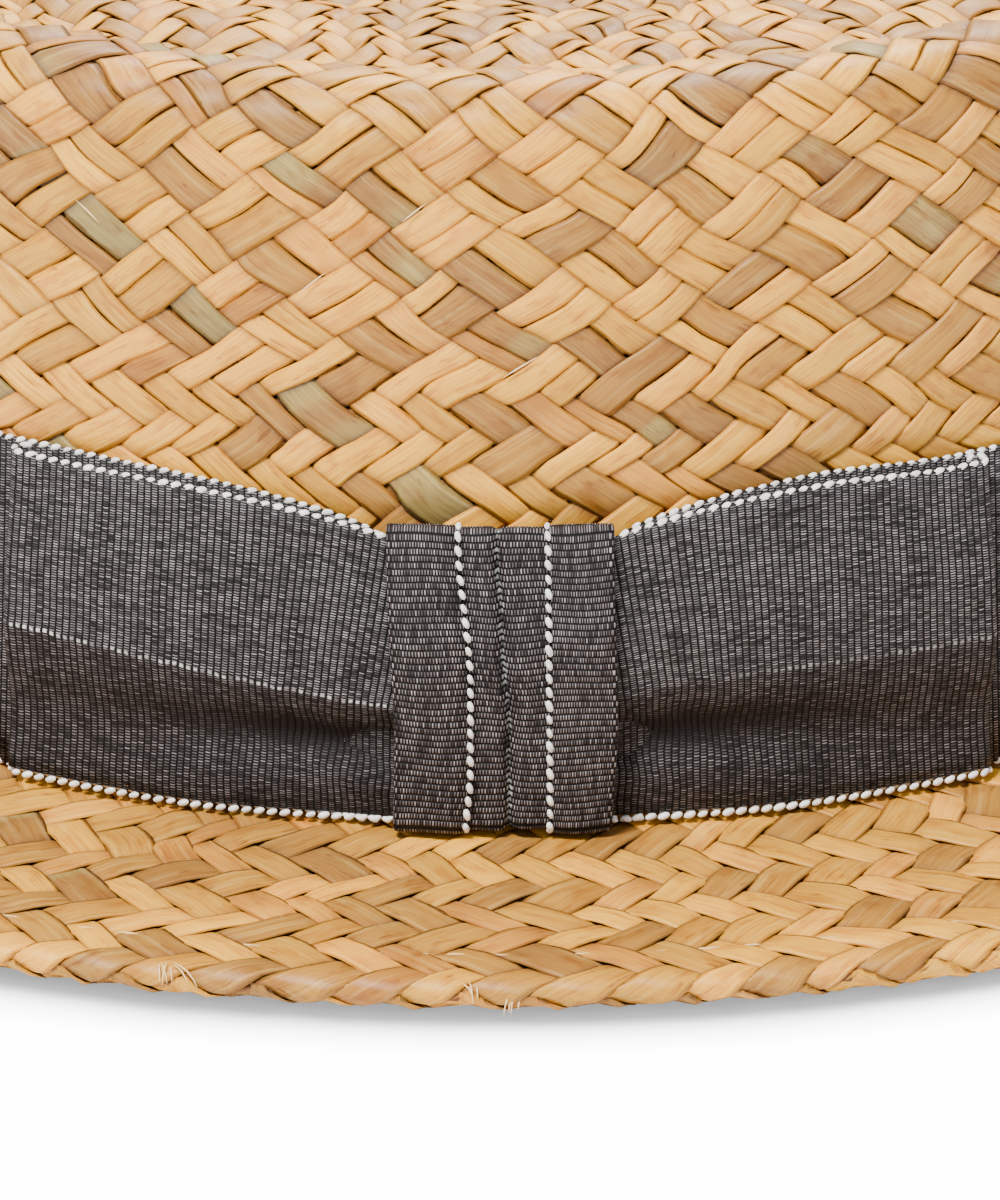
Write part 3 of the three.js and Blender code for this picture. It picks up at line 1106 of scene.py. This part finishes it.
def ribbon_weave():
    """Fine ribs across the ribbon, each covered by short threads of black, charcoal and pale grey. The ribs
    show worn points on the fold line. Below that line the cloth is darkened with painted shade by the share
    shaded, most of all in the hollow near the knot."""
    outputs = (("Colour", "Color"), ("Relief", "Float"))
    tree = new_effect("ribbon_weave", RIBBON_WEAVE_INPUTS, outputs)
    along, across, _ = parts(tree, add(tree, "ShaderNodeUVMap", uv_map="weave").outputs[0])
    rib = along / RIB
    rib_number = rib.floor()
    thread = across / THREAD_PITCH + rib_number.wrap(2.0) * 0.5
    thread_number = thread.floor()
    in_rib = (rib - rib_number - 0.5).calc("ABSOLUTE")
    in_thread = (thread - thread_number - 0.5).calc("ABSOLUTE")

    def chance(x, y):
        node = add(tree, "ShaderNodeTexWhiteNoise", noise_dimensions="2D")
        plug(tree, vector(tree, x, y, 0), node.inputs["Vector"])
        return result(node, "Value")

    def soft_noise(place):
        return result(add(tree, "ShaderNodeTexNoise", (("Vector", place), ("Scale", 1.0))))

    # Threads: some are pale and some nearly black, and a tone often runs on over a few ribs
    fold = across - given(tree, "Fold Line")
    each = chance(rib_number, thread_number)
    streak = soft_noise(vector(tree, along * 0.35, thread_number * 3.1, 0)).ease(0.36, 0.64)
    waves = soft_noise(vector(tree, along * 0.25, across * 0.12, 0))
    # Painted shade: the pale threads are dimmed below the fold line, and most in the hollow near the knot
    near = (along - 53).calc("ABSOLUTE").ease(52, 18)
    painted_hollow_shade = (across - 10.6).calc("ABSOLUTE").ease(4.2, 0.6) * near
    below = (fold.ease(0.8, -1.5) * 0.75 + painted_hollow_shade) * given(tree, "Shaded")
    pale = each * each * each * 0.75 + streak * 0.38 + 0.075 + (waves - 0.5) * 0.5
    pale = pale * (below * -1 + 1)
    dash = in_thread.ease(0.28, 0.08) * in_rib.ease(0.43, 0.3)
    warp, weft = given(tree, "Warp").socket, given(tree, "Weft").socket
    colour = blend_colours(tree, "MIX", dash * pale.calc("MAXIMUM", 0.03), warp, weft)
    # Painted shade: the grooves between the ribs are darkened to black
    groove = in_rib.ease(0.35, 0.45)
    colour = blend_colours(tree, "MIX", groove * 0.92, colour, (0.003, 0.003, 0.003))

    # The worn points of the fold line: strongest where the cloth begins and fainter on the
    # bow's right half
    fading = (along.ease(62.0, 50.0) + along.ease(72.0, 88.0) * 0.4) * given(tree, "Wear")
    fading = fading + along.ease(7.0, 3.0) * 0.6
    wander = (soft_noise(vector(tree, along * 0.4, 5, 0)) - 0.5) * 1.4
    worn = (fold + wander).calc("ABSOLUTE").ease(0.3, 0.12) * in_rib.ease(0.34, 0.15)
    point = chance(rib_number, 3.0).ease(-0.1, 0.9)
    worn_tone = given(tree, "Worn").socket
    colour = blend_colours(tree, "MIX", worn * point * fading, colour, worn_tone)
    put_out(tree, Colour=colour, Relief=dash * 0.6 - groove)
    return tree


weave = ribbon_weave()


def ribbon_material(name, warp, weft, worn, fold_line, shaded, wear):
    """Charcoal ribbon. fold_line is the place of its fold line across it, in mm. shaded is how much painted
    shade darkens the cloth below that line, and wear is how much the line shows."""
    material, tree, surface = new_material(name, Roughness=0.62, Specular_IOR_Level=0.12)
    cloth = add(tree, "ShaderNodeGroup", node_tree=weave)
    for label, tone in (("Warp", warp), ("Weft", weft), ("Worn", worn)):
        cloth.inputs[label].default_value = (*tone, 1)
    cloth.inputs["Fold Line"].default_value = fold_line
    cloth.inputs["Shaded"].default_value = shaded
    cloth.inputs["Wear"].default_value = wear
    tree.links.new(cloth.outputs["Colour"], surface.inputs["Base Color"])
    raise_relief(tree, surface, cloth.outputs["Relief"], 0.5, 0.12 * MM)
    return material


def looped_edges(name, slot, lines, pitch=LOOP_PITCH):
    """White loops along a ribbon's edges."""
    made = grow(
        name,
        line_mesh(name + "_line", lines),
        edge_of_beads,
        {
            "Pitch": pitch * MM,
            "Bead": edge_bead,
            "Unevenness": 0.25,
            "Material": loop_thread,
        },
    )
    return settle(made, slot)


CLOTH_BLACK = (0.009, 0.008, 0.009)
CLOTH_PALE = (0.34, 0.32, 0.34)
edge_bead = round_bead("edge_loop", LOOP_LENGTH * MM, LOOP_WIDTH * MM, LOOP_SLANT)
loop_thread = thread_material("edge_thread", (0.86, 0.86, 0.84))
WORN_CLOTH = (0.55, 0.57, 0.57)
NO_FOLD = -9.0
band_cloth = ribbon_material("band_ribbon", CLOTH_BLACK, CLOTH_PALE, WORN_CLOTH, NO_FOLD, 0.0, 0.0)

# Places evenly along the band, from the middle of its back
turns = np.linspace(math.pi / 2, math.pi * 5 / 2, 4001)
band_x = (half_length + BAND_SETTING) * np.cos(turns)
band_y = (half_width + BAND_SETTING) * np.sin(turns)
way = np.r_[0, np.cumsum(np.hypot(np.diff(band_x), np.diff(band_y)))]
band_ribs = round(way[-1] / RIB)
places, relief = rib_columns(band_ribs)
band_angle = np.interp(places * way[-1] / band_ribs, way, turns)


def band_face(rows, half):
    """The band's outer or inner face."""
    share = np.linspace(0, 1, rows)
    angle = band_angle[:, None]
    in_front = np.sin(angle) < 0
    across = half_length * np.cos(angle)
    dip = gathered(across) * (1 - smooth(56, 80, across))
    dip = np.where(in_front, dip + 3.0 * (1 - smooth(4, 16, np.abs(across))), 0)
    ripple = 0.12 * np.sin(9 * angle + 1) * np.sin(3 * share + 5 * angle)
    out = BAND_SETTING + half + ripple + relief[:, None] * (half > 0)
    return place_out(angle, out, ribbon_foot + 0.3 + share * (RIBBON_WIDTH - 0.6 - dip))


band_front = band_face(7, RIBBON_THICKNESS / 2)
band_back = band_face(3, -RIBBON_THICKNESS / 2)
band = ribbon_ring(
    "hat_band",
    band_front,
    band_back,
    np.r_[places, band_ribs] * RIB,
    np.linspace(0, RIBBON_WIDTH, 7),
    np.linspace(0, RIBBON_WIDTH, 3),
    band_cloth,
)
settle(band, "band_ribbon", "ribbon_band")
band_edges = [
    ((band_front[:, row] + band_back[:, row]) / 2 + np.array([0, 0, rise]) * MM, True)
    for row, rise in ((0, 0.0), (-1, -0.15))
]
band_loops = looped_edges("hat_band_loops", "band_ribbon", band_edges)

# Bow loops: one length of the same ribbon is folded into a flat loop on each side and gathered in
# the middle. The front of each loop has a fold line along it and a hollow under that.
BOW_REACH = 54.0
BOW_THICKNESS = 0.5
FOLD_RADIUS = 0.9
FOLD_WAY = 3.0  # cloth in the fold at either end of the bow
LAST_STEP = 0.25
CREASE = 0.43  # place of the fold line, as a share of the ribbon's width from its lower edge
bow_cloth = ribbon_material(
    "bow_ribbon",
    CLOTH_BLACK,
    CLOTH_PALE,
    WORN_CLOTH,
    CREASE * RIBBON_WIDTH,
    # share of painted shade below the fold line
    0.56,
    0.85,
)


def bow_level(across, share, lowered=0.0):
    """Height of a point of the bow. Its ribbon is narrower where the knot gathers it."""
    far = np.abs(across)
    low = ribbon_foot + 0.8 + 0.2 * smooth(30, BOW_REACH, far)
    left_fold = 14.2 + 5.0 * smooth(0, 54, far)
    right_fold = 17.75 - 2.0 * np.exp(-(far - 13) / 6.5)
    fold_line = ribbon_foot + np.where(across < 0, left_fold, np.maximum(right_fold, 14.2))
    high = ribbon_foot + 39.5 - gathered(across) - lowered
    under_fold = low + (fold_line - low) * share / CREASE
    over_fold = fold_line + (high - fold_line) * (share - CREASE) / (1 - CREASE)
    return np.where(share < CREASE, under_fold, over_fold)


def bow_front(across, share):
    """How far the bow's front stands out from the band."""
    far = smooth(10, 52, np.abs(across))
    left = smooth(5, -5, across)

    def between(near_value, far_value):
        return near_value + (far_value - near_value) * far

    rise = 2.0 * smooth(0.0, CREASE, share) - between(1.3, 0.9) * smooth(0.55, 1.0, share)
    upper = between(0.5, 0.2) * bell(share, 0.62, 0.15)
    lower = between(0.85, 0.5) * bell(share, between(0.11, 0.02), between(0.08, 0.06))
    hollow = between(1.75, 0.6) * bell(share, between(0.275, 0.2), between(0.075, 0.1))
    fold = between(0.6, 0.5) * np.exp(-np.abs(share - CREASE) / 0.045) * (0.55 + 0.45 * left)
    pucker = 0.2 * np.sin(0.75 * across + 5 * share) * bell(share, 0.3, 0.16) * (1 - far)
    ripple = 0.12 * np.sin(0.21 * across + 2 + 3 * share)
    return 1.05 + rise + upper + lower - hollow + fold + pucker + ripple


def bow_back(across, share):
    """The back of the bow lies on the band, and comes forward where the knot goes behind it."""
    return 0.05 + 1.25 * (1 - smooth(13, 22, np.abs(across))) + 0 * share


def bow_face(rows, half):
    """One face of the closed loop: front from left to right, right fold, back, left fold."""
    share = np.linspace(0, 1, rows) if isinstance(rows, int) else rows
    share = share[None, :]
    front_x = front_places[:, None]
    gather = (1 - smooth(10, 38, np.abs(front_x))) * smooth(0, 10, np.abs(front_x))
    slant = np.sign(front_x) * gather * 5.0 * np.maximum(share - 0.4, 0)
    slant = slant + gather * 0.3 * np.sin(31 * share + 0.5 * front_x) * bell(share, 0.25, 0.16)
    depth = half + front_relief[:, None] * (half > 0)
    front = place_across(
        front_x - slant,
        bow_front(front_x, share) + depth,
        bow_level(front_x, share),
    )
    back_x = back_places[:, None]
    lowered = 2.3 * (1 - smooth(BOW_REACH - 3, BOW_REACH, np.abs(back_x)))
    back = place_across(
        back_x + 0 * share,
        bow_back(back_x, share) - half,
        bow_level(back_x, share, lowered),
    )

    def fold(side, angles):
        at = side * bow_end
        outer, inner = bow_front(at, share), bow_back(at, share)
        radius = (outer - inner) / 2
        turn = angles[:, None]
        x = at + side * np.cos(turn) * (FOLD_RADIUS + half)
        out = (outer + inner) / 2 + np.sin(turn) * (radius + half)
        return place_across(x, out, bow_level(x, share))

    return np.concatenate([front, fold(1, fold_turns), back, fold(-1, -fold_turns)])


bow_ribs = round(2 * (BOW_REACH - FOLD_RADIUS) / RIB)
places, front_relief = rib_columns(bow_ribs)
front_places = (places - bow_ribs / 2) * RIB
bow_end = bow_ribs / 2 * RIB
fold_turns = np.radians(np.linspace(90, -90, 13))
back_places = np.linspace(bow_end, -bow_end, 91)[1:-1]
fold_steps = np.linspace(0, FOLD_WAY, 13)
back_start = bow_ribs * RIB + FOLD_WAY
bow_along = np.r_[
    places * RIB,
    bow_ribs * RIB + fold_steps,
    back_start + bow_end - back_places,
    back_start + 2 * bow_end + fold_steps,
    back_start + 2 * bow_end + FOLD_WAY + LAST_STEP,
]
front_rows = np.r_[
    np.linspace(0, 0.2, 6)[:-1],
    np.linspace(0.2, CREASE - 0.02, 9)[:-1],
    CREASE - 0.02,
    CREASE,
    CREASE + 0.02,
    np.linspace(CREASE + 0.08, 1, 11),
]
back_rows = np.r_[np.linspace(0, CREASE, 8)[:-1], np.linspace(CREASE, 1, 7)]
bow_outer = bow_face(front_rows, BOW_THICKNESS / 2)
bow_inner = bow_face(back_rows, -BOW_THICKNESS / 2)
bow = ribbon_ring(
    "bow",
    bow_outer,
    bow_inner,
    bow_along,
    front_rows * RIBBON_WIDTH,
    back_rows * RIBBON_WIDTH,
    bow_cloth,
)
settle(bow, "bow_ribbon", "bow_loops")
bow_edges = [
    ((bow_outer[:, row] + bow_inner[:, row]) / 2 + np.array([0, shift, rise]) * MM, True)
    for row, shift, rise in ((0, -0.4, -0.45), (-1, 0.05, -0.05))
]
bow_edge_loops = looped_edges("bow_edge_loops", "bow_ribbon", bow_edges)

# Knot: a short piece of the ribbon with both sides folded to the front goes round the middle of
# the bow and is sewn behind it. The two looped edges run down its front.
KNOT_HALF_WIDTH = 12.15
KNOT_LOW = 0.55  # of the cloth's middle over the ribbon's foot
KNOT_HIGH = 35.5
KNOT_OUT = 4.0
KNOT_TOP_OUT = 2.9  # the knot leans back to this at its top
KNOT_BACK_OUT = 0.35
KNOT_BACK_HIGH = 34.2  # it slopes down behind, towards the band
KNOT_CORNER = 0.7
KNOT_THICKNESS = 0.45
KNOT_LOOP_PITCH = 1.75
KNOT_FOLD_RADIUS = 0.36
KNOT_BACK_RADIUS = 0.5
knot_cloth = ribbon_material(
    "knot_ribbon",
    (0.009, 0.007, 0.008),
    (0.33, 0.30, 0.31),
    (0.50, 0.56, 0.56),
    RIBBON_WIDTH / 2,
    0.0,
    0.42,
)


def knot_route():
    """Points round the bow as out and height, with the direction of the cloth's face. It starts
    at the foot of the front and goes up."""
    low, high = ribbon_foot + KNOT_LOW, ribbon_foot + KNOT_HIGH
    r = KNOT_CORNER
    back_r = KNOT_BACK_RADIUS
    back, back_high = KNOT_BACK_OUT + back_r, ribbon_foot + KNOT_BACK_HIGH
    front_z = np.linspace(low + r, high - r, 30)
    front = KNOT_OUT - (KNOT_OUT - KNOT_TOP_OUT) * smooth(low + 20, high, front_z)
    pieces = [np.stack([front, front_z], axis=1)]
    for centre, radius, start in (
        ((front[-1] - r, high - r), r, 0),
        ((back, back_high - back_r), back_r, 90),
        ((back, low + back_r), back_r, 180),
        ((KNOT_OUT - r, low + r), r, 270),
    ):
        pieces.append(np.array(arc(centre, radius, start, start + 90)))
    path = np.concatenate(pieces)
    steps = np.r_[0, np.cumsum(np.hypot(*np.diff(path, axis=0).T))]
    return path, steps


knot_path, knot_way = knot_route()
knot_ribs = round(knot_way[-1] / RIB)
places, relief = rib_columns(knot_ribs)
at = places * knot_way[-1] / knot_ribs
route_out = np.interp(at, knot_way, knot_path[:, 0])
route_z = np.interp(at, knot_way, knot_path[:, 1])
ahead = np.interp((at + 0.3) % knot_way[-1], knot_way, knot_path[:, 0])
ahead_z = np.interp((at + 0.3) % knot_way[-1], knot_way, knot_path[:, 1])
behind = np.interp((at - 0.3) % knot_way[-1], knot_way, knot_path[:, 0])
behind_z = np.interp((at - 0.3) % knot_way[-1], knot_way, knot_path[:, 1])
span = np.hypot(ahead - behind, ahead_z - behind_z)
face_out, face_z = (ahead_z - behind_z) / span, -(ahead - behind) / span
on_front = np.clip(face_out, 0, 1)
knot_share = (route_z - ribbon_foot - KNOT_LOW) / (KNOT_HIGH - KNOT_LOW)


def knot_section(side):
    """A line across the folded ribbon, as place across and height over the inner layer. side is 1
    for the face that is outside before the ribbon is folded, and -1 for the other."""
    half = KNOT_THICKNESS / 2 * side
    flap_steps = np.linspace(0, 1, 6)
    turn_steps = np.linspace(75, -75, 5)
    base_steps = np.array([0.0, 0.025, 0.06, 0.12, 0.22, 0.36, 0.55, 0.78, 1.0])
    points = [("flap", -1, t) for t in flap_steps]
    points += [("turn", -1, t) for t in turn_steps]
    points += [("base", -1, t) for t in base_steps[::-1]]
    points += [("base", 1, t) for t in base_steps[1:]]
    points += [("turn", 1, t) for t in turn_steps[::-1]]
    points += [("flap", 1, t) for t in flap_steps[::-1]]
    across = np.zeros((len(at), len(points)))
    proud = np.zeros_like(across)
    width = np.zeros(len(points))
    radius = KNOT_FOLD_RADIUS
    narrow = KNOT_HALF_WIDTH - 0.8 * (1 - knot_share) - radius
    middle = 0.65 * bell(knot_share, 0.35, 0.35)
    left_edge = -3.35 - 1.45 * smooth(0.5, 1.0, knot_share) - 0.5 * smooth(0.2, 0, knot_share)
    right_edge = 5.42 + 0.1 * smooth(0.6, 0.1, knot_share)
    fold_line = 0.75 - 1.05 * smooth(0.3, 1.0, knot_share) + 0.25 * bell(knot_share, 0.25, 0.2)
    fold_line = fold_line + 0.1 * np.sin(19 * knot_share)
    for k, (kind, hand, t) in enumerate(points):
        if kind == "flap":
            edge = left_edge if hand < 0 else right_edge
            fold = middle + hand * narrow
            across[:, k] = edge + (fold - edge) * t
            proud[:, k] = 2 * radius + half + 0.22 * math.sin(math.pi * t**0.8)
            width[k] = 20 + hand * (20 - 7.5 * t)
        elif kind == "turn":
            angle = math.radians(t)
            across[:, k] = middle + hand * (narrow + (radius + half) * math.cos(angle))
            proud[:, k] = radius + (radius + half) * math.sin(angle)
            width[k] = 20 + hand * (12.5 - 1.0 * (75 - t) / 150)
        else:
            base = fold_line + t * (middle + hand * narrow - fold_line)
            across[:, k] = base
            beside = np.abs(base - fold_line)
            groove = 1.15 * np.exp(-beside / 0.34)
            swell = 0.3 * bell(beside, 1.9, 1.3) + (0.4 if hand < 0 else 0.05) * bell(beside, 0.75, 0.6)
            proud[:, k] = -half - groove + swell
            width[k] = 20 + hand * 11.5 * t
    return across, proud, width


def knot_face(side):
    across, proud, width = knot_section(side)
    squeeze = 0.25 + 0.75 * on_front * (1 - 0.65 * smooth(0.86, 1.0, knot_share))
    bulge = 0.55 * on_front * np.sin(math.pi * np.clip(knot_share, 0, 1)) ** 0.7
    depth = proud * squeeze[:, None] + (relief + bulge)[:, None]
    out = route_out[:, None] + depth * face_out[:, None]
    sway = 0.13 * np.sin(0.6 * across + 7 * knot_share[:, None]) * on_front[:, None]
    z = route_z[:, None] + depth * face_z[:, None] + sway
    return place_across(across, out, z), width


knot_outer, outer_width = knot_face(1)
knot_inner, inner_width = knot_face(-1)
knot_along = np.r_[places, knot_ribs] * knot_way[-1] / knot_ribs
knot = ribbon_ring(
    "knot",
    knot_outer,
    knot_inner,
    knot_along,
    outer_width,
    inner_width,
    knot_cloth,
)
settle(knot, "knot_ribbon", "bow_knot")
knot_edges = [
    ((knot_outer[:, row] + knot_inner[:, row]) / 2 + np.array([shift, -0.15, 0]) * MM, True)
    for row, shift in ((0, 0.25), (-1, -0.25))
]
knot_edge_loops = looped_edges("knot_edge_loops", "knot_ribbon", knot_edges, KNOT_LOOP_PITCH)

# Floor and light: a plain white table, a soft light from above and in front, a weaker one from
# behind, and a pale room.
# For the camera, the table outside the brim glows: painted light, dimmed round the rim into a painted soft
# grey shadow.
TABLE_REACH = 3.0
RIM_SHADOW_REACH = 10.0 * MM
RIM_SHADOW_TONE = 0.47
SHADOW_FALL = 14.0  # how fast the shadow gives way to the bright table
TABLE_GLOW = 14.0
ROOM_LIGHT = 0.86
RIM_FROM, RIM_TO = 0.85, 0.95  # the glow comes in between these, as squared shares of the oval
floor_mesh = bpy.data.meshes.new("floor")
corners = [(x * TABLE_REACH, y * TABLE_REACH, 0) for x, y in ((-1, -1), (1, -1), (1, 1), (-1, 1))]
floor_mesh.from_pydata(corners, [], [(0, 1, 2, 3)])
floor = bpy.data.objects.new("floor", floor_mesh)
bpy.context.scene.collection.objects.link(floor)
floor_finish, floor_tree, floor_surface = new_material(
    "table",
    Base_Color=(0.96, 0.96, 0.96, 1),
    Roughness=0.8,
)
# Painted shadow: ambient occlusion from the hat dims the table's glow near the rim
shadow = add(floor_tree, "ShaderNodeAmbientOcclusion", (("Distance", RIM_SHADOW_REACH),), samples=32)
open_share = result(shadow, "AO")
glow = open_share.calc("POWER", SHADOW_FALL) * TABLE_GLOW + open_share * 0.5 + RIM_SHADOW_TONE
glowing = add(floor_tree, "ShaderNodeEmission", (("Strength", glow),))
table_x, table_y, _ = parts(floor_tree, add(floor_tree, "ShaderNodeTexCoord").outputs["Object"])
table_x = table_x / float(oval[0] + brim_reach)
table_y = table_y / float(oval[1] + brim_reach)
outside = (table_x * table_x + table_y * table_y).ease(RIM_FROM, RIM_TO)
seen = add(floor_tree, "ShaderNodeLightPath").outputs["Is Camera Ray"]
either = add(floor_tree, "ShaderNodeMixShader", ((0, outside * Field(floor_tree, seen)),))
floor_tree.links.new(floor_surface.outputs[0], either.inputs[1])
floor_tree.links.new(glowing.outputs[0], either.inputs[2])
floor_tree.links.new(either.outputs[0], floor_tree.nodes["Material Output"].inputs["Surface"])
floor.data.materials.append(floor_finish)

world = bpy.data.worlds.new("pale_room")
world.use_nodes = True
room_tree = world.node_tree
room = room_tree.nodes["Background"]
room.inputs["Color"].default_value = (1.0, 1.0, 1.0, 1)
room_seen = Field(room_tree, add(room_tree, "ShaderNodeLightPath").outputs["Is Camera Ray"])
plug(room_tree, room_seen.mix(ROOM_LIGHT, TABLE_GLOW), room.inputs["Strength"])
bpy.context.scene.world = world


def soft_light(name, place, size, power, colour=(1, 1, 1)):
    lamp = bpy.data.lights.new(name, "AREA")
    lamp.color = colour
    lamp.shape = "DISK"
    lamp.size = size
    lamp.energy = power
    holder = bpy.data.objects.new(name, lamp)
    holder.location = place
    holder.rotation_mode = "QUATERNION"
    holder.rotation_quaternion = (-Vector(place)).to_track_quat("-Z", "Y")
    bpy.context.scene.collection.objects.link(holder)


soft_light("key", (-0.4, -0.6, 1.3), 0.34, 54, (1.0, 0.96, 0.9))
soft_light("back", (0.1, 0.95, 1.0), 0.6, 26)
